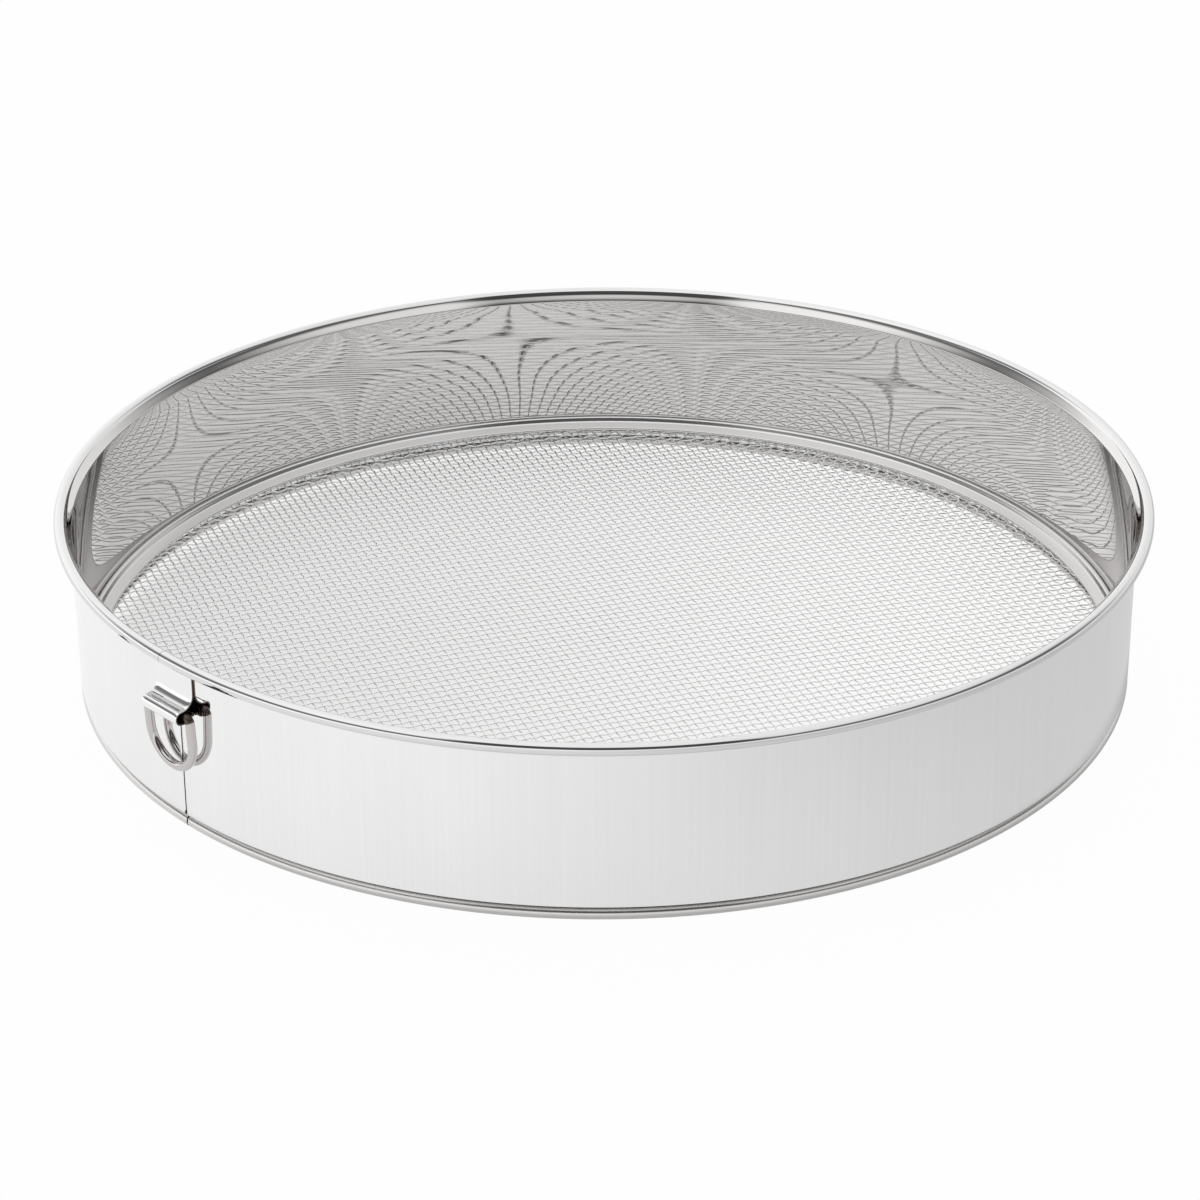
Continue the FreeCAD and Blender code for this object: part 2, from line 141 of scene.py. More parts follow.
# Its creases where the ring grips it, counted round the drum
GRIP_FROM = (184.0, 189.5)
GRIP_UNTIL = (190.5, 193.0)
FOLD_DEPTH = 0.28
FOLD_COUNTS = (61, 23)
FOLD_START = 1.3
PLEAT_DEPTH = 0.2
PLEAT_COUNT = 137
PLEAT_START = 0.4

# The clamping ring
CLAMP_WIDTH = 6.75
CLAMP_FOOT = 3.0
CLAMP_EDGE = 0.1
SHOULDER_ROUND = 1.2
NOSE_ROUND = 0.6
NOSE_LIFT = 0.7
RISER_ANGLE = 150.0
RISER_DROP = 0.9
HOLLOW_ROUND = 1.6
FLANGE_ANGLE = 108.0
CLAMP_STEPS = 480

# The hanger's strap, which takes the wall's curve between two heights above the ring's bar
STRAP_THICKNESS = 0.8
STRAP_SEAT_GAP = 0.06
STRAP_BEND = 4.6
STRAP_TOP = 65.2
STRAP_EDGE = 0.16
STRAP_EDGE_ANGLES = (0, 30, 60, 90)
STRAP_STEPS = 13
STRAP_CURVE_FROM = (2.0, 9.0)
HOOK_BORE = 1.8
HOOK_REACH = 1.7
# The hanging ring
RING_WIRE = 1.69
RING_SIDES = 24
RING_CORNER = 2.0
# how far down the ring's corners the painted shade reaches
RING_SHADE_SHARE = 0.6
RING_SIDE_GAP = 0.2
RING_LENGTH = 22.7
RING_WALL_GAP = 0.9

sheet_half = SHEET / 2
wall_inside = WALL_RADIUS - SHEET
curl_middle = (RIM_RADIUS - CURL_RADIUS, DRUM_HEIGHT - CURL_RADIUS)
cloth_middle = (cloth_low.z + cloth_high.z) / 2
clamp_radius = min(-clamp_low.x, clamp_high.x, -clamp_low.y, clamp_high.y)
strap_half = (strap_high.x - strap_low.x) / 2


# Points and meshes
def on_circle(centre, radius, angle):
    """The point of a circle at an angle."""
    turn = math.radians(angle)
    return centre[0] + radius * math.cos(turn), centre[1] + radius * math.sin(turn)


def arc(centre, radius, start, end, step):
    """Points along an arc from one angle to another."""
    count = max(2, math.ceil(abs(end - start) / step) + 1)
    return [on_circle(centre, radius, angle) for angle in np.linspace(start, end, count)]


def run(start, end, parts):
    """Points along a straight stretch, without its two ends."""
    start, end = np.array(start), np.array(end)
    return [tuple(start + (end - start) * i / parts) for i in range(1, parts)]


def full_turn(steps):
    """Even angles round a whole turn, in radians."""
    return np.linspace(0, 2 * math.pi, steps, endpoint=False)


def smooth_step(value, low, high):
    """From 0 at the low value to 1 at the high one, level at both."""
    t = np.clip((value - low) / (high - low), 0, 1)
    return t * t * (3 - 2 * t)


def outline_of(stretches):
    """One closed outline, anticlockwise, from finishes and their points, and the finish of each side."""
    points = np.array([point for _, stretch in stretches for point in stretch])
    finish = np.array([kind for kind, stretch in stretches for _ in stretch])
    keep = np.hypot(*(np.roll(points, -1, axis=0) - points).T) > SAME_POINT
    points, finish = points[keep], finish[keep]
    after = np.roll(points, -1, axis=0)
    area = np.sum(points[:, 0] * after[:, 1] - after[:, 0] * points[:, 1])
    if area < 0:
        points, finish = points[::-1], np.roll(finish[::-1], -1)
    return points, finish


def tube_faces(rows, count, start=0, closed=False):
    """Faces between rows of points, and one at each end unless the last row joins the first."""
    spans = rows if closed else rows - 1
    i, k = [grid.ravel() for grid in np.meshgrid(np.arange(spans), np.arange(count), indexing="ij")]
    i_next, k_next = (i + 1) % rows, (k + 1) % count
    corners = (i * count + k, i * count + k_next, i_next * count + k_next, i_next * count + k)
    faces = (start + np.stack(corners, axis=1)).tolist()
    if not closed:
        last = start + (rows - 1) * count
        faces.append(list(reversed(range(start, start + count))))
        faces.append(list(range(last, last + count)))
    return faces


def new_piece(name, points, faces, body, node, materials):
    """A smooth mesh object in millimetres that rides on a body and stands for a node of the frame."""
    mesh = bpy.data.meshes.new(name)
    mesh.from_pydata((np.asarray(points) * MM).tolist(), [], faces)
    piece = bpy.data.objects.new(name, mesh)
    bpy.context.scene.collection.objects.link(piece)
    for material in materials:
        mesh.materials.append(material)
    mesh.shade_smooth()
    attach(piece, body)
    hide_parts(node)
    return piece


def paint(piece, finish):
    """Give each face its finish, a place in the piece's list of materials."""
    piece.data.polygons.foreach_set("material_index", np.asarray(finish, np.int32))


def lathe(name, outline, finish, angles, node, slot, materials, shift=None, mark=None):
    """A closed outline of radius and height, taken round the drum's axis, with UVs in metres along it."""
    steps, count = len(angles), len(outline)
    radius = np.tile(outline[:, 0], (steps, 1))
    height = np.tile(outline[:, 1], (steps, 1))
    turn = np.tile(angles[:, None], (1, count))
    if shift is not None:
        radius, height = shift(radius, height, turn)
    points = np.stack([radius * np.cos(turn), radius * np.sin(turn), height], axis=-1).reshape(-1, 3)
    i, j = [grid.ravel() for grid in np.meshgrid(np.arange(steps), np.arange(count), indexing="ij")]
    i_next, j_next = (i + 1) % steps, (j + 1) % count
    corners = (i * count + j, i_next * count + j, i_next * count + j_next, i * count + j_next)
    piece = new_piece(name, points, np.stack(corners, axis=1).tolist(), "drum", node, materials)
    ahead = np.append(angles, angles[0] + 2 * math.pi)
    sides = np.hypot(*(np.roll(outline, -1, axis=0) - outline).T)
    along = np.append(0, np.cumsum(sides))
    reach = outline[:, 0].mean() * MM
    u = np.stack([ahead[i], ahead[i + 1], ahead[i + 1], ahead[i]], axis=1) * reach
    v = np.stack([along[j], along[j], along[j + 1], along[j + 1]], axis=1) * MM
    layer = piece.data.uv_layers.new(name="strip")
    layer.data.foreach_set("uv", np.stack([u, v], axis=-1).astype(np.float32).ravel())
    chosen = finish[j]
    if mark is not None:
        chosen = mark(chosen, (ahead[i] + ahead[i + 1]) / 2, outline[j])
    paint(piece, chosen)


# Shader nodes
def link(tree, source, target):
    tree.links.new(source, target)


def math_node(tree, kind, first, second=None):
    node = tree.nodes.new("ShaderNodeMath")
    node.operation = kind
    for socket, value in zip(node.inputs, (first, second)):
        if isinstance(value, (int, float)):
            socket.default_value = value
        elif value is not None:
            link(tree, value, socket)
    return node.outputs[0]


def ranged(tree, value, low, high, to_low, to_high, smooth=False):
    node = tree.nodes.new("ShaderNodeMapRange")
    if smooth:
        node.interpolation_type = "SMOOTHSTEP"
    link(tree, value, node.inputs["Value"])
    for name, number in (("From Min", low), ("From Max", high), ("To Min", to_low), ("To Max", to_high)):
        node.inputs[name].default_value = number
    return node.outputs["Result"]


def dot(tree, source, axis):
    node = tree.nodes.new("ShaderNodeVectorMath")
    node.operation = "DOT_PRODUCT"
    link(tree, source, node.inputs[0])
    node.inputs[1].default_value = axis
    return node.outputs["Value"]


def noise(tree, place, scale, detail):
    """A noise whose frequency, per metre, differs along the three axes."""
    mapping = tree.nodes.new("ShaderNodeMapping")
    mapping.inputs["Scale"].default_value = scale
    link(tree, place, mapping.inputs["Vector"])
    texture = tree.nodes.new("ShaderNodeTexNoise")
    texture.inputs["Scale"].default_value = 1
    texture.inputs["Detail"].default_value = detail
    link(tree, mapping.outputs["Vector"], texture.inputs["Vector"])
    return texture.outputs["Fac"]


def bump(tree, height, depth):
    node = tree.nodes.new("ShaderNodeBump")
    node.inputs["Strength"].default_value = 1
    node.inputs["Distance"].default_value = depth * MM
    link(tree, height, node.inputs["Height"])
    return node


def mix_shaders(tree, share, first, second):
    node = tree.nodes.new("ShaderNodeMixShader")
    link(tree, share, node.inputs["Fac"])
    link(tree, first, node.inputs[1])
    link(tree, second, node.inputs[2])
    return node.outputs["Shader"]


# Steel finishes
NOISE_SPAN = (0.3, 0.7)
GRAIN_DETAIL = 3
WEAR_DETAIL = 4
WAVE_DETAIL = 1
WAVE_SHARE = 0.35
TINT_SHARES = (0.97, 1.02)
# the sockets of a mix of two colours
MIX_SHARE, MIX_FIRST, MIX_SECOND, MIX_RESULT = 0, 6, 7, 2


def steel(name, tint, roughness, grain, wear, grain_depth, wave_depth=0.0, on_strip=True):
    """Polished or drawn steel: fine grain along the metal, cloudy wear in its gloss, and slight waves.

    Grain and wear are frequencies per metre, along the strip's UVs or in the object's own axes.
    """
    material = bpy.data.materials.new(name)
    material.use_nodes = True
    tree = material.node_tree
    shader = tree.nodes["Principled BSDF"]
    shader.inputs["Metallic"].default_value = 1
    place = tree.nodes.new("ShaderNodeTexCoord").outputs["UV" if on_strip else "Object"]
    fine = noise(tree, place, grain, GRAIN_DETAIL)
    cloud = noise(tree, place, wear, WEAR_DETAIL)
    both = math_node(tree, "MULTIPLY", math_node(tree, "ADD", fine, cloud), 0.5)
    link(tree, ranged(tree, both, *NOISE_SPAN, *roughness), shader.inputs["Roughness"])
    colour = tree.nodes.new("ShaderNodeMix")
    colour.data_type = "RGBA"
    for socket, share in zip((MIX_FIRST, MIX_SECOND), TINT_SHARES):
        colour.inputs[socket].default_value = (*[min(1, share * c) for c in tint], 1)
    link(tree, ranged(tree, both, *NOISE_SPAN, 0, 1), colour.inputs[MIX_SHARE])
    link(tree, colour.outputs[MIX_RESULT], shader.inputs["Base Color"])
    waves = noise(tree, place, tuple(WAVE_SHARE * frequency for frequency in wear), WAVE_DETAIL)
    broad = bump(tree, waves, wave_depth)
    scratch = bump(tree, fine, grain_depth)
    link(tree, broad.outputs["Normal"], scratch.inputs["Normal"])
    link(tree, scratch.outputs["Normal"], shader.inputs["Normal"])
    return material


BRIGHT = (0.712, 0.699, 0.692)
# a lighter tint of the same steel for the outer face and the strap: painted light
PALE = (0.9, 0.898, 0.898)
mirror_steel = steel(
    "mirror_steel",
    tint=BRIGHT,
    roughness=(0.008, 0.025),
    grain=(6, 2600, 1),
    wear=(14, 60, 1),
    grain_depth=0.00008,
    wave_depth=0.006,
)
neck_steel = steel(
    "neck_steel",
    tint=BRIGHT,
    roughness=(0.03, 0.06),
    grain=(9, 2600, 1),
    wear=(14, 300, 1),
    grain_depth=0.0002,
)
sheet_steel = steel(
    "sheet_steel",
    tint=PALE,
    roughness=(0.03, 0.06),
    grain=(700, 7, 1),
    wear=(30, 12, 1),
    grain_depth=0.00004,
    wave_depth=0.01,
)
bead_steel = steel(
    "bead_steel",
    tint=(0.75, 0.747, 0.746),
    roughness=(0.03, 0.07),
    grain=(9, 1500, 1),
    wear=(12, 60, 1),
    grain_depth=0.0001,
)
# the hem: rougher, and tinted darker than the outer sheet as painted shade for the shaded floor it reflects
hem_steel = steel(
    "hem_steel",
    tint=(0.73, 0.72, 0.712),
    roughness=(0.2, 0.3),
    grain=(9, 1500, 1),
    wear=(12, 60, 1),
    grain_depth=0.0004,
)
clamp_steel = steel(
    "clamp_steel",
    tint=(0.76, 0.755, 0.752),
    roughness=(0.18, 0.26),
    grain=(8, 2800, 1),
    wear=(12, 200, 1),
    grain_depth=0.0002,
    wave_depth=0.006,
)
cloth_steel = steel(
    "cloth_steel",
    tint=(0.87, 0.865, 0.862),
    roughness=(0.05, 0.1),
    grain=(900, 900, 900),
    wear=(60, 60, 60),
    grain_depth=0.002,
    on_strip=False,
)
wire_steel = steel(
    "wire_steel",
    tint=(0.57, 0.55, 0.54),
    roughness=(0.05, 0.1),
    grain=(120, 2400, 2400),
    wear=(150, 150, 150),
    grain_depth=0.001,
    on_strip=False,
)
strap_steel = steel(
    "strap_steel",
    tint=PALE,
    roughness=(0.03, 0.07),
    grain=(2600, 60, 60),
    wear=(90, 90, 90),
    grain_depth=0.0004,
    wave_depth=0.003,
    on_strip=False,
)
# near black: the seam's line and the curl's joint, and painted shade in the groove and under the lip
seam_and_shade_steel = steel(
    "seam_and_shade_steel",
    tint=(0.025, 0.021, 0.02),
    roughness=(0.3, 0.5),
    grain=(60, 60, 1),
    wear=(40, 40, 1),
    grain_depth=0.002,
)
# painted shade: dark brown steel for the parts of the strap and the ring that lie in shadow
painted_shade_steel = steel(
    "painted_shade_steel",
    tint=(0.13, 0.1, 0.085),
    roughness=(0.3, 0.5),
    grain=(900, 900, 900),
    wear=(200, 200, 200),
    grain_depth=0.002,
    on_strip=False,
)
# the places of the hoop's finishes in its list of materials, and of the hanger's in theirs
MIRROR, PLAIN, DARK, NECK, BEAD, HEM = range(6)
HOOP_STEELS = [mirror_steel, sheet_steel, seam_and_shade_steel, neck_steel, bead_steel, hem_steel]
POLISHED, SHADED = range(2)
# the finish of a piece that has only one
SOLE = 0


# The hoop's section: hem, groove, ledge, wall, step and curl
def hoop_section():
    """Each stretch with its finish, the top of the outer wall, and the top of the seam's spot."""
    curl_bore = CURL_RADIUS - SHEET
    hem = (WALL_RADIUS - HEM_RADIUS, HEM_RADIUS - HEM_FLAT)
    hem_bore = HEM_RADIUS - SHEET
    groove = (hem[0], hem[1] + HEM_RADIUS + GROOVE_WIDTH / 2)
    groove_back = GROOVE_WIDTH / 2 + SHEET
    ledge_under = groove[1] + GROOVE_WIDTH / 2
    ledge_top = ledge_under + SHEET
    # a small step leads from the wall out to the crease under the curl
    slope = math.radians(NECK_SLOPE)
    crease = on_circle(curl_middle, CURL_RADIUS, NECK_END)
    lean_start = wall_inside + NECK_BEND * (1 - math.cos(slope))
    lean_height = crease[1] - (crease[0] - lean_start) / math.tan(slope)
    neck = (wall_inside + NECK_BEND, lean_height - NECK_BEND * math.sin(slope))
    wall_top = neck[1] + sheet_half
    under_end = on_circle(curl_middle, curl_bore, CURL_BORE_END)
    lip = (curl_middle[0], curl_middle[1] - CURL_RADIUS + sheet_half)
    hem_tip = (hem[0] - HEM_RADIUS + sheet_half, hem[1])
    low_inside = (wall_inside - CORNER_ROUND, ledge_top + CORNER_ROUND)
    low_outside = (WALL_RADIUS - GROOVE_CORNER, ledge_under + GROOVE_CORNER)
    spot_top = low_outside[1] + SEAM_SPOT

    inside_hem = arc(hem, hem_bore, -180, 90, step=15)
    inside_hem += arc(groove, groove_back, 270, 90, step=12)
    inner_wall = arc(low_inside, CORNER_ROUND, -90, 0, step=30)
    inner_wall += run((wall_inside, low_inside[1]), (wall_inside, neck[1]), parts=16)
    step_out = arc(neck, NECK_BEND, 180, 180 - NECK_SLOPE, step=10)
    step_out += run((lean_start, lean_height), crease, parts=3)
    bead = arc(curl_middle, CURL_RADIUS, NECK_END, -90, step=5)
    inside_curl = arc(lip, sheet_half, 270, 90, step=45)[1:-1]
    inside_curl += arc(curl_middle, curl_bore, -90, CURL_BORE_END, step=18)
    inside_curl += run(under_end, (WALL_RADIUS, wall_top), parts=3)
    outer_wall = [(WALL_RADIUS, wall_top)]
    outer_wall += run((WALL_RADIUS, wall_top), (WALL_RADIUS, spot_top), parts=16)
    outer_wall += run((WALL_RADIUS, spot_top), (WALL_RADIUS, low_outside[1]), parts=8)
    outer_wall += arc(low_outside, GROOVE_CORNER, 0, -90, step=12)
    groove_face = arc(groove, GROOVE_WIDTH / 2, 90, 270, step=12)
    # the hem stands on a narrow flat
    hem_face = [(radius, max(height, 0.0)) for radius, height in arc(hem, HEM_RADIUS, 90, -180, step=9)]
    hem_edge = arc(hem_tip, sheet_half, 180, 0, step=45)[1:-1]
    stretches = [
        (PLAIN, inside_hem),
        (MIRROR, inner_wall),
        (NECK, step_out),
        (BEAD, bead),
        (PLAIN, inside_curl),
        (PLAIN, outer_wall),
        # the groove's face is painted near black: painted shade in the recess
        (DARK, groove_face),
        (HEM, hem_face),
        (HEM, hem_edge),
    ]
    return stretches, wall_top, spot_top


hoop_stretches, wall_top, spot_top = hoop_section()
seam_angle = math.radians(HANGER_ANGLE) + math.asin(SEAM_ACROSS / WALL_RADIUS)
joint_angle = math.radians(CURL_JOINT)
joint_half = CURL_JOINT_WIDTH / 2 / RIM_RADIUS


def hoop_angles():
    """Even steps round the drum, and closer ones at the seam, the curl's joint and the painted shadows
    under its lip.
    """
    even = full_turn(HOOP_STEPS)
    clear = np.abs(even - seam_angle) > SEAM_CLEAR_SHARE * SEAM_WIDTH / WALL_RADIUS
    shares = np.array(SEAM_STEP_SHARES)
    seam = seam_angle + np.concatenate([-shares[::-1], [0], shares]) * SEAM_WIDTH / WALL_RADIUS
    joint = joint_angle + joint_half * np.array([-1, 1])
    gaps = [np.radians(np.linspace(first, last, LIP_SHADOW_STEPS)) for first, last in LIP_SHADOWS]
    return np.sort(np.concatenate([even[clear], seam, joint, *gaps]))


def hoop_shift(radius, height, turn):
    """Slight waves in the sheet above the clamping ring, and the seam's line in the outer face."""
    above = smooth_step(height, *WAVES_FROM)
    wave = 0.5 + 0.5 * np.sin(WAVE_COUNT * turn + WAVE_START)
    ripple = 0.5 + 0.5 * np.sin(RIPPLE_COUNT * turn + RIPPLE_START + height / RIPPLE_RISE)
    radius = radius - above * (WAVE_DEPTH * wave + RIPPLE_DEPTH * ripple)
    from_seam = np.abs(turn - seam_angle) * WALL_RADIUS
    line = 1 - smooth_step(from_seam, *[share * SEAM_WIDTH for share in SEAM_GROOVE_SHARES])
    outside = (radius > WALL_RADIUS - SEAM_REACH) & (height < wall_top)
    return radius - np.where(outside, SEAM_DEPTH * line, 0), height


def hoop_marks(finish, turn, place):
    """The finish of each face: dark in the seam and at the curl's joint, and painted shadow under its lip.
    """
    radius, height = place.T
    hem_top = 2 * HEM_RADIUS
    from_seam = np.abs(turn - seam_angle) * WALL_RADIUS
    # the seam's line widens to a spot where the sheet bends into the groove
    spread = SEAM_SPOT * np.clip((spot_top - height) / (spot_top - hem_top), 0, 1) ** 2
    line = from_seam < SEAM_LINE_SHARE * SEAM_WIDTH + np.where(height > hem_top, spread, 0)
    outside = (radius > WALL_RADIUS - HEM_RADIUS / 2) & (height < wall_top)
    on_curl = (radius > curl_middle[0] - CURL_RADIUS) & (np.abs(turn - joint_angle) < joint_half)
    dark = (line & outside) | on_curl
    # painted shadow under the lip, reaching highest in the middle of each span
    under_curl = (radius > curl_middle[0]) & (height > curl_middle[1] - CURL_RADIUS - sheet_half)
    for first, last in np.radians(LIP_SHADOWS):
        inside = np.clip(1 - np.abs(2 * turn - first - last) / (last - first), 0, 1)
        top = curl_middle[1] - CURL_RADIUS * LIP_SHADOW_SHARE * (1 - np.sqrt(inside))
        dark |= under_curl & (inside > 0) & (height < top)
    return np.where(dark, DARK, finish)


lathe(
    "hoop_sheet",
    *outline_of(hoop_stretches),
    hoop_angles(),
    "drum_hoop",
    "sheet_steel",
    HOOP_STEELS,
    shift=hoop_shift,
    mark=hoop_marks,
)


# The wires inside the curl and the hem
def rim_wire(name, node):
    low, high = node_box(node)
    wire = (high.z - low.z) / 2
    centre = (high.x - wire, (high.z + low.z) / 2)
    section = outline_of([(SOLE, arc(centre, wire, 0, 345, step=15))])
    lathe(name, *section, full_turn(RIM_WIRE_STEPS), node, "wire_steel", [clamp_steel])


rim_wire("curl_wire", "top_rim_wire")
rim_wire("hem_wire", "bottom_rim_wire")


# The clamping ring: a foot on the cloth, a round shoulder at the wall, a hollow and a flange with a nose
def clamp_section():
    outer, foot = clamp_radius - FIT_SKIN, cloth_high.z + SKIN
    shoulder = (outer - SHOULDER_ROUND, clamp_high.z - SHOULDER_ROUND)
    nose = (outer - CLAMP_WIDTH + NOSE_ROUND, foot + NOSE_LIFT + NOSE_ROUND)
    heel = (outer - CLAMP_FOOT, foot)
    to_heel = math.atan2(heel[1] - nose[1], heel[0] - nose[0])
    under = math.degrees(to_heel - math.acos(NOSE_ROUND / math.dist(heel, nose)))
    riser_foot = on_circle(shoulder, SHOULDER_ROUND, RISER_ANGLE)
    riser = math.radians(RISER_ANGLE)
    hollow = (
        riser_foot[0] + HOLLOW_ROUND * math.cos(riser) - RISER_DROP * math.sin(riser),
        riser_foot[1] + HOLLOW_ROUND * math.sin(riser) + RISER_DROP * math.cos(riser),
    )
    points = arc(shoulder, SHOULDER_ROUND, 0, RISER_ANGLE, step=5)
    points += arc(hollow, HOLLOW_ROUND, RISER_ANGLE - 180, FLANGE_ANGLE - 180, step=5)
    points += arc(nose, NOSE_ROUND, FLANGE_ANGLE, under + 360, step=9)
    points += run(points[-1], heel, parts=3)
    points += [heel, (outer - CLAMP_EDGE, foot), (outer, foot + CLAMP_EDGE)]
    return outline_of([(SOLE, points)])


clamp_turns = full_turn(CLAMP_STEPS)
lathe("clamp_ring", *clamp_section(), clamp_turns, "mesh_clamp_ring", "ring_steel", [clamp_steel])


# The cloth: plain weave, every wire over one and under the next
def cloth_field(place):
    """How the whole cloth lies: sag and dents, wandering wires, and creases where the ring grips it."""
    x, y = place[..., 0], place[..., 1]
    reach = np.hypot(x, y)
    turn = np.arctan2(y, x)
    free = 1 - smooth_step(reach, *FREE_UNTIL)
    sag_x, sag_y = [np.sin(at / long + start) for at, long, start in zip((x, y), SAG_LENGTHS, SAG_STARTS)]
    sag = SAG_DEPTH * sag_x * sag_y
    dents = DENT_DEPTH * np.sin((x + y) / DENT_LENGTH)
    grip = smooth_step(reach, *GRIP_FROM) * (1 - smooth_step(reach, *GRIP_UNTIL))
    folds = FOLD_DEPTH * np.sin(FOLD_COUNTS[0] * turn) * np.sin(FOLD_COUNTS[1] * turn + FOLD_START)
    pleats = PLEAT_DEPTH * np.sin(PLEAT_COUNT * turn + PLEAT_START)
    moved = place.copy()
    for axis, across in enumerate((y, x)):
        drift = DRIFT * np.sin(across / DRIFT_LENGTHS[axis] + DRIFT_STARTS[axis])
        wander = WANDER * np.sin(across / WANDER_LENGTHS[axis])
        moved[..., axis] += free * (drift + wander)
    moved[..., 2] += free * (sag + dents) + grip * (folds + pleats)
    return moved


def weave(name, angle, pitch, cross_pitch, crimp):
    """One set of parallel wires, in a few pieces. Each waves over and under the wires that cross it."""
    forward = np.array([math.cos(math.radians(angle)), math.sin(math.radians(angle)), 0])
    aside = np.array([forward[1], -forward[0], 0])
    upward = np.array([0, 0, 1.0])
    turns = full_turn(WIRE_SIDES)[:, None]
    half_count = int(CLOTH_RADIUS // pitch)
    numbers = np.arange(-half_count, half_count + 1)
    for share, group in enumerate(np.array_split(numbers, CLOTH_SHARES), start=1):
        points, faces, used = [], [], 0
        for number in group:
            offset = number * pitch
            half = math.sqrt(CLOTH_RADIUS**2 - offset**2)
            steps = max(STEPS_PER_CROSSING, int(2 * half / cross_pitch * STEPS_PER_CROSSING))
            s = np.linspace(-half, half, steps + 1)
            wave = crimp if number % 2 == 0 else -crimp
            phase = math.pi * s / cross_pitch
            height = wave * np.cos(phase)
            tilt = np.arctan(-wave * math.pi / cross_pitch * np.sin(phase))
            middle = offset * aside + s[:, None] * forward + (cloth_middle + height)[:, None] * upward
            normal = np.cos(tilt)[:, None] * upward - np.sin(tilt)[:, None] * forward
            around = np.cos(turns) * normal[:, None, :] + np.sin(turns) * aside
            points.append((middle[:, None, :] + WIRE_RADIUS * around).reshape(-1, 3))
            faces += tube_faces(steps + 1, WIRE_SIDES, start=used)
            used += len(points[-1])
        placed = cloth_field(np.concatenate(points))
        new_piece(f"{name}_{share}", placed, faces, "drum", "mesh_cloth", [cloth_steel])


weave("cloth_long", LONG_WIRE_ANGLE, LONG_WIRE_PITCH, CROSS_WIRE_PITCH, LONG_WIRE_CRIMP)
weave("cloth_cross", CROSS_WIRE_ANGLE, CROSS_WIRE_PITCH, LONG_WIRE_PITCH, -CROSS_WIRE_CRIMP)


# The strap: up behind the curl's lip, flat on the wall, bent out and rolled round the ring's bar
def strap_section():
    """The strap's section in distance from the axis and height: its outline and the finish of each side."""
    inner = WALL_RADIUS + STRAP_SEAT_GAP
    bar = (-pivot.y, pivot.z)
    hook = (bar[0] + HOOK_REACH, bar[1])
    bend_out = STRAP_BEND + STRAP_THICKNESS
    out = inner + bend_out - hook[0]
    rise = math.sqrt((bend_out + HOOK_BORE) ** 2 - out**2)
    bend = (inner + bend_out, hook[1] + rise)
    turn = math.degrees(math.atan2(rise, out))
    thick = STRAP_THICKNESS - FIT_SKIN
    roll = HOOK_BORE + thick
    # the rolled end turns back to the wall under the bar
    heel = math.degrees(math.asin(thick / roll))
    # the upper end goes up behind the curl's lip
    tip = (inner + thick / 2, STRAP_TOP - thick / 2)
    bore = arc(hook, HOOK_BORE, turn, -90, step=7) + arc(bar, HOOK_BORE, -90, -180, step=7)
    back = run((inner, tip[1]), (inner, bend[1]), parts=5) + arc(bend, bend_out, 180, 180 + turn, step=5)
    # the sides that face the bar and the wall take painted shade
    stretches = [
        (SHADED, bore),
        (SHADED, [(inner, bar[1]), (inner, bar[1] - thick)]),
        (SHADED, arc(bar, roll, heel - 180, -90, step=7)),
        (POLISHED, arc(hook, roll, -90, turn, step=7)),
        (POLISHED, arc(bend, STRAP_BEND + FIT_SKIN, 180 + turn, 180, step=5)),
        (POLISHED, run((inner + thick, bend[1]), (inner + thick, tip[1]), parts=5)),
        (POLISHED, arc(tip, thick / 2, 0, 180, step=30)),
        (SHADED, back),
    ]
    return outline_of(stretches)


def strap_piece():
    section, finish = strap_section()
    before, after = np.roll(section, 1, axis=0), np.roll(section, -1, axis=0)
    along = (after - before) / np.hypot(*(after - before).T)[:, None]
    inward = np.stack([-along[:, 1], along[:, 0]], axis=1)
    # across the strap lie a rounded edge, the flat and the other edge, and the section shrinks at the edges
    angles = np.radians(STRAP_EDGE_ANGLES)
    right = [(strap_half - STRAP_EDGE * (1 - math.cos(a)), STRAP_EDGE * (1 - math.sin(a))) for a in angles]
    left = [(-x, inset) for x, inset in right]
    flat = np.linspace(STRAP_EDGE - strap_half, strap_half - STRAP_EDGE, STRAP_STEPS)[1:-1]
    stations = left + [(x, 0.0) for x in flat] + right[::-1]
    points = []
    for x, inset in stations:
        ring = section + inset * inward
        hugging = smooth_step(ring[:, 1] - pivot.z, *STRAP_CURVE_FROM)
        curve = hugging * (WALL_RADIUS - math.sqrt(WALL_RADIUS**2 - x**2))
        points.append(np.stack([np.full(len(ring), x), curve - ring[:, 0], ring[:, 1]], axis=1))
    points = np.concatenate(points)
    faces = tube_faces(len(stations), len(section))
    steels = [strap_steel, painted_shade_steel]
    band = new_piece("strap_band", points, faces, "drum", "hanger_strap", steels)
    # the two cut edges take painted shade too
    paint(band, np.append(np.tile(finish, len(stations) - 1), [SHADED, SHADED]))


strap_piece()


# The hanging ring: one bent wire with a bar, two corners, two legs and a half-round bottom
def ring_path():
    bar_half = strap_half + RING_SIDE_GAP
    half_width = bar_half + RING_CORNER
    bottom = (0.0, half_width - RING_LENGTH)
    path = run((-bar_half, 0), (bar_half, 0), parts=12)
    path += arc((bar_half, -RING_CORNER), RING_CORNER, 90, 0, step=10)
    path += run((half_width, -RING_CORNER), (half_width, bottom[1]), parts=6)
    path += arc(bottom, half_width, 0, -180, step=4)
    path += run((-half_width, bottom[1]), (-half_width, -RING_CORNER), parts=6)
    path += arc((-bar_half, -RING_CORNER), RING_CORNER, 180, 90, step=10)
    return np.array(path)


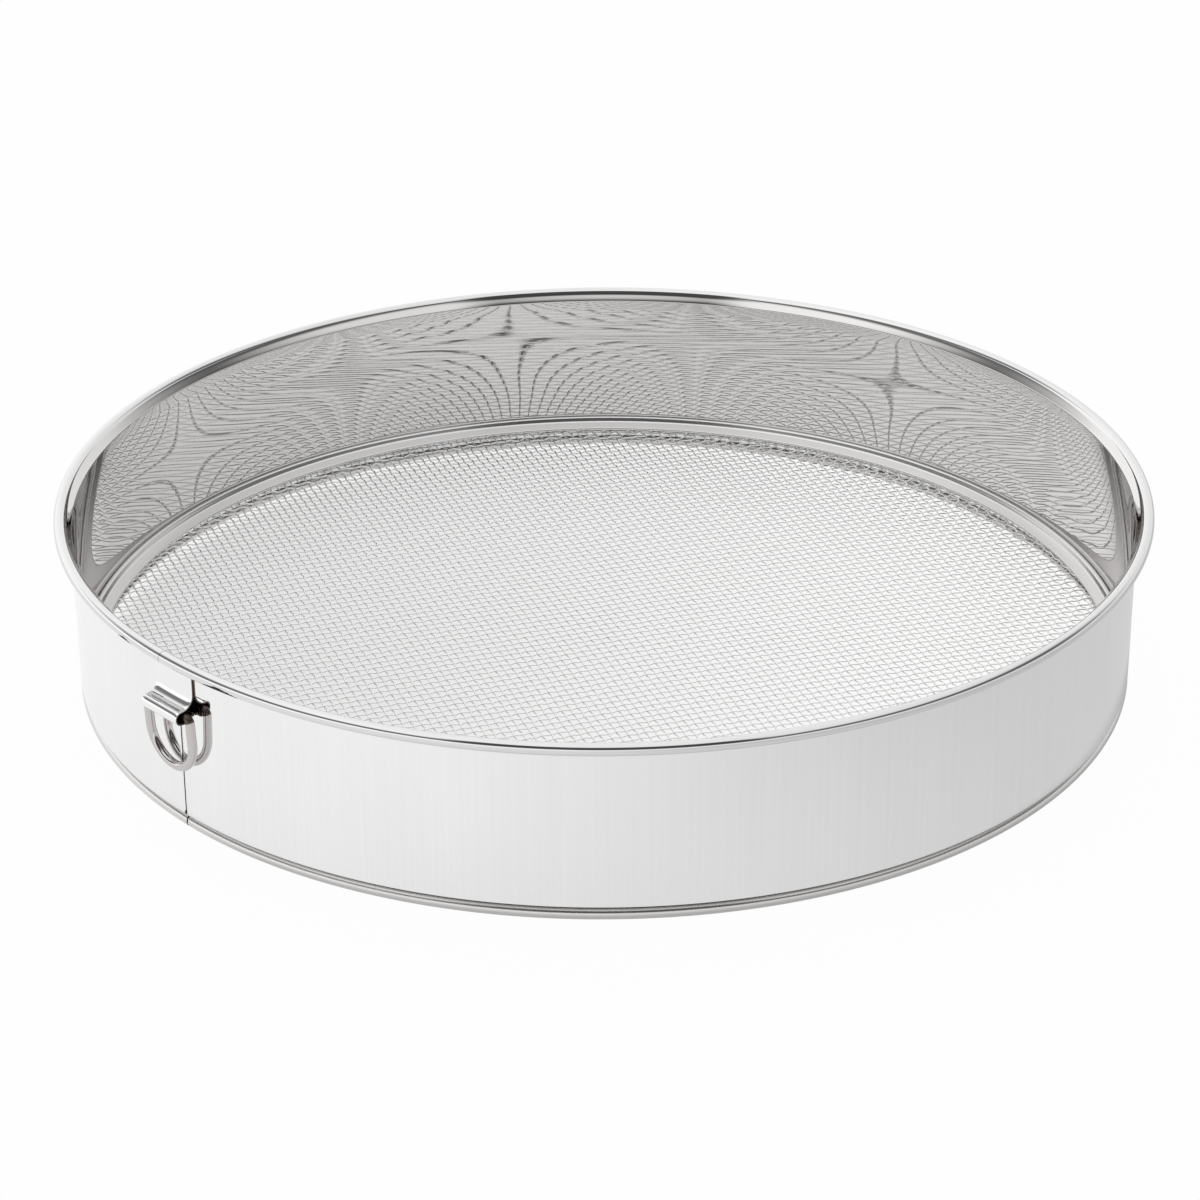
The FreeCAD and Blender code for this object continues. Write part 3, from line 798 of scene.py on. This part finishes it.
def ring_piece():
    path = ring_path()
    ahead, behind = np.roll(path, -1, axis=0), np.roll(path, 1, axis=0)
    along = (ahead - behind) / np.hypot(*(ahead - behind).T)[:, None]
    outward = np.stack([along[:, 1], -along[:, 0]], axis=1)
    turns = full_turn(RING_SIDES)
    across = path[:, None, :] + RING_WIRE * np.cos(turns)[:, None] * outward[:, None, :]
    depth = np.tile(RING_WIRE * np.sin(turns), (len(path), 1))
    upright = np.stack([across[..., 0], depth, across[..., 1]], axis=-1).reshape(-1, 3)
    # it leans in about its bar until its bottom is just clear of the wall
    lean = math.asin((-pivot.y - WALL_RADIUS - RING_WIRE - RING_WALL_GAP) / RING_LENGTH)
    tilt = np.array([[1, 0, 0], [0, math.cos(lean), -math.sin(lean)], [0, math.sin(lean), math.cos(lean)]])
    points = upright @ tilt.T + np.array(pivot)
    faces = tube_faces(len(path), RING_SIDES, closed=True)
    steels = [wire_steel, painted_shade_steel]
    wire = new_piece("swing_ring", points, faces, "ring", "hanging_ring", steels)
    # the bar and the corners, in the hook, take painted shade
    in_hook = path[:, 1] > -RING_SHADE_SHARE * RING_CORNER
    paint(wire, np.repeat(np.where(in_hook, SHADED, POLISHED), RING_SIDES))


ring_piece()

# The viewpoint: above and in front, to the right of the hanger
PHOTO_SIDE = 1200
FOCAL = 3528.606
SENSOR = 36.0
VIEW_DISTANCE = 1332.79
VIEW_HEIGHT = 24.545512
VIEW_PAN = 0.067323
VIEW_TILT = -1.788774
VIEW_ROLL = 0.284015
VIEW_TURN = 47.67
CLIP_NEAR = 50.0
CLIP_FAR = 60000.0
AIM_HEIGHT = DRUM_HEIGHT - CURL_RADIUS

view_turn = Matrix.Rotation(math.radians(VIEW_TURN), 3, "Z")
toward = view_turn @ Vector((0, -1, 0))
to_right = view_turn @ Vector((1, 0, 0))


def place_camera():
    rise = math.radians(VIEW_HEIGHT)
    offset = Vector((0, -math.cos(rise), math.sin(rise)))
    forward = -offset
    right = Vector((1, 0, 0))
    up = right.cross(forward)
    pan = Matrix.Rotation(math.radians(VIEW_PAN), 3, up)
    forward, right = pan @ forward, pan @ right
    tilt = Matrix.Rotation(math.radians(VIEW_TILT), 3, right)
    forward, up = tilt @ forward, tilt @ up
    roll = Matrix.Rotation(math.radians(VIEW_ROLL), 3, forward)
    right, up = roll @ right, roll @ up
    axes = Matrix((view_turn @ right, view_turn @ up, -(view_turn @ forward))).transposed()
    place = view_turn @ (offset * VIEW_DISTANCE) + Vector((0, 0, AIM_HEIGHT))
    lens = bpy.data.cameras.new("camera")
    lens.sensor_width = SENSOR
    lens.lens = FOCAL / PHOTO_SIDE * SENSOR
    lens.clip_start = CLIP_NEAR * MM
    lens.clip_end = CLIP_FAR * MM
    camera = bpy.data.objects.new("camera", lens)
    camera.matrix_world = Matrix.Translation(place * MM) @ axes.to_4x4()
    bpy.context.scene.collection.objects.link(camera)
    bpy.context.scene.camera = camera


place_camera()

# A white studio: a bright surround with one dim patch, high on the side that the viewpoint is on
SURROUND_LEVEL = 1.08
LEFT_GAIN = 0.2
PATCH_DEPTH = 0.93
PATCH_HALF_WIDTH = (30.0, 46.0)
PATCH_LOW = (13.0, 22.0)
PATCH_HIGH = (54.0, 64.0)
SIDE_DEPTH = 0.85
SIDE_REACH = (105.0, 145.0)
SIDE_HIGH = (34.0, 50.0)
WHITE = (1, 1, 1, 1)


def studio():
    world = bpy.data.worlds.new("studio")
    bpy.context.scene.world = world
    world.use_nodes = True
    tree = world.node_tree
    direction = tree.nodes.new("ShaderNodeTexCoord").outputs["Generated"]
    rightward = dot(tree, direction, to_right)
    ahead = dot(tree, direction, toward)
    bearing = math_node(tree, "ABSOLUTE", math_node(tree, "ARCTAN2", rightward, ahead))
    height = math_node(tree, "ARCSINE", dot(tree, direction, Vector((0, 0, 1))))
    near = ranged(tree, bearing, *np.radians(PATCH_HALF_WIDTH), 1, 0, smooth=True)
    over = ranged(tree, height, *np.radians(PATCH_LOW), 0, 1, smooth=True)
    below = ranged(tree, height, *np.radians(PATCH_HIGH), 1, 0, smooth=True)
    patch = math_node(tree, "MULTIPLY", near, math_node(tree, "MULTIPLY", over, below))
    # low down, the dim part goes on round to both sides
    beside = ranged(tree, bearing, *np.radians(SIDE_REACH), 1, 0, smooth=True)
    low_down = ranged(tree, height, *np.radians(SIDE_HIGH), 1, 0, smooth=True)
    flank = math_node(tree, "MULTIPLY", beside, math_node(tree, "MULTIPLY", over, low_down))
    patch_loss = math_node(tree, "MULTIPLY", patch, PATCH_DEPTH)
    flank_loss = math_node(tree, "MULTIPLY", flank, SIDE_DEPTH)
    dimmed = math_node(tree, "SUBTRACT", 1, math_node(tree, "MAXIMUM", patch_loss, flank_loss))
    # the left is a little brighter than the right
    sideways = math_node(tree, "SUBTRACT", 1, math_node(tree, "MULTIPLY", rightward, LEFT_GAIN))
    level = math_node(tree, "MULTIPLY", math_node(tree, "MULTIPLY", dimmed, sideways), SURROUND_LEVEL)
    # straight behind the object it is white
    seen = tree.nodes.new("ShaderNodeLightPath").outputs["Is Camera Ray"]
    background = tree.nodes["Background"]
    background.inputs["Color"].default_value = WHITE
    link(tree, math_node(tree, "MAXIMUM", level, seen), background.inputs["Strength"])


studio()

# A wide pale floor that stays white to the eye and pale in the steel, and takes a faint shadow
FLOOR_HALF = 8000.0
FLOOR_DROP = 0.05
FLOOR_TONE = (0.92, 0.92, 0.92, 1)
FLOOR_GLOW = 0.97
FLOOR_GLOW_IN_STEEL = 0.85
FLOOR_IN_STEEL = (1.0, 0.63)
FLOOR_FADE = (-220.0, 340.0)
FLOOR_UNDER_DRUM = (0.77, 1.0)
FLOOR_CLEAR_SHARES = (0.94, 0.99)
FLOOR_AT_HEM = 0.7
FLOOR_HEM_REACH = 9.0
FLOOR_LEFT_SHARES = (-0.9, -0.1)


def floor_level(tree, to_eye):
    """How bright the floor glows from place to place."""
    place = tree.nodes.new("ShaderNodeTexCoord").outputs["Object"]
    rightward = dot(tree, place, to_right)
    length = tree.nodes.new("ShaderNodeVectorMath")
    length.operation = "LENGTH"
    link(tree, place, length.inputs[0])
    from_axis = length.outputs["Value"]
    wall = WALL_RADIUS * MM
    # in the steel the floor dims toward the right
    fade = ranged(tree, rightward, *[end * MM for end in FLOOR_FADE], *FLOOR_IN_STEEL, smooth=True)
    # close to the hem it lies in shade, but not at the left
    by_hem = ranged(tree, from_axis, wall, wall + FLOOR_HEM_REACH * MM, FLOOR_AT_HEM, 1, smooth=True)
    at_left = ranged(tree, rightward, *[share * wall for share in FLOOR_LEFT_SHARES], 1, 0, smooth=True)
    fade = math_node(tree, "MULTIPLY", fade, math_node(tree, "MAXIMUM", by_hem, at_left))
    outside = math_node(tree, "MAXIMUM", fade, to_eye)
    # under the drum it lies in shade, most at the left
    clear = ranged(tree, from_axis, *[share * wall for share in FLOOR_CLEAR_SHARES], 0, 1)
    shade = ranged(tree, rightward, -wall, wall, *FLOOR_UNDER_DRUM, smooth=True)
    lit = math_node(tree, "MULTIPLY", clear, outside)
    shaded = math_node(tree, "MULTIPLY", math_node(tree, "SUBTRACT", 1, clear), shade)
    return math_node(tree, "ADD", lit, shaded)


def floor_material():
    material = bpy.data.materials.new("pale_floor")
    material.use_nodes = True
    tree = material.node_tree
    tree.nodes.remove(tree.nodes["Principled BSDF"])
    matt = tree.nodes.new("ShaderNodeBsdfDiffuse")
    matt.inputs["Color"].default_value = FLOOR_TONE
    ray = tree.nodes.new("ShaderNodeLightPath").outputs
    to_eye = math_node(tree, "MAXIMUM", ray["Is Camera Ray"], ray["Is Transmission Ray"])
    glow = tree.nodes.new("ShaderNodeEmission")
    glow.inputs["Color"].default_value = WHITE
    link(tree, floor_level(tree, to_eye), glow.inputs["Strength"])
    steel_share = math_node(tree, "MULTIPLY", ray["Is Glossy Ray"], FLOOR_GLOW_IN_STEEL)
    eye_share = math_node(tree, "MULTIPLY", to_eye, FLOOR_GLOW)
    glow_share = math_node(tree, "MAXIMUM", steel_share, eye_share)
    upper_side = mix_shaders(tree, glow_share, matt.outputs["BSDF"], glow.outputs["Emission"])
    # from below the floor is clear, so that the drum's underside can be seen
    from_below = tree.nodes.new("ShaderNodeNewGeometry").outputs["Backfacing"]
    nothing = tree.nodes.new("ShaderNodeBsdfTransparent").outputs["BSDF"]
    surface = mix_shaders(tree, from_below, upper_side, nothing)
    link(tree, surface, tree.nodes["Material Output"].inputs["Surface"])
    return material


def lay_floor():
    mesh = bpy.data.meshes.new("floor")
    half, height = FLOOR_HALF * MM, -FLOOR_DROP * MM
    corners = [(x * half, y * half, height) for x, y in ((-1, -1), (1, -1), (1, 1), (-1, 1))]
    mesh.from_pydata(corners, [], [[0, 1, 2, 3]])
    mesh.materials.append(floor_material())
    floor = bpy.data.objects.new("floor", mesh)
    bpy.context.scene.collection.objects.link(floor)


lay_floor()

GLOSSY_BOUNCES = 10
scene = bpy.context.scene
scene.view_settings.view_transform = "Standard"
scene.cycles.glossy_bounces = GLOSSY_BOUNCES
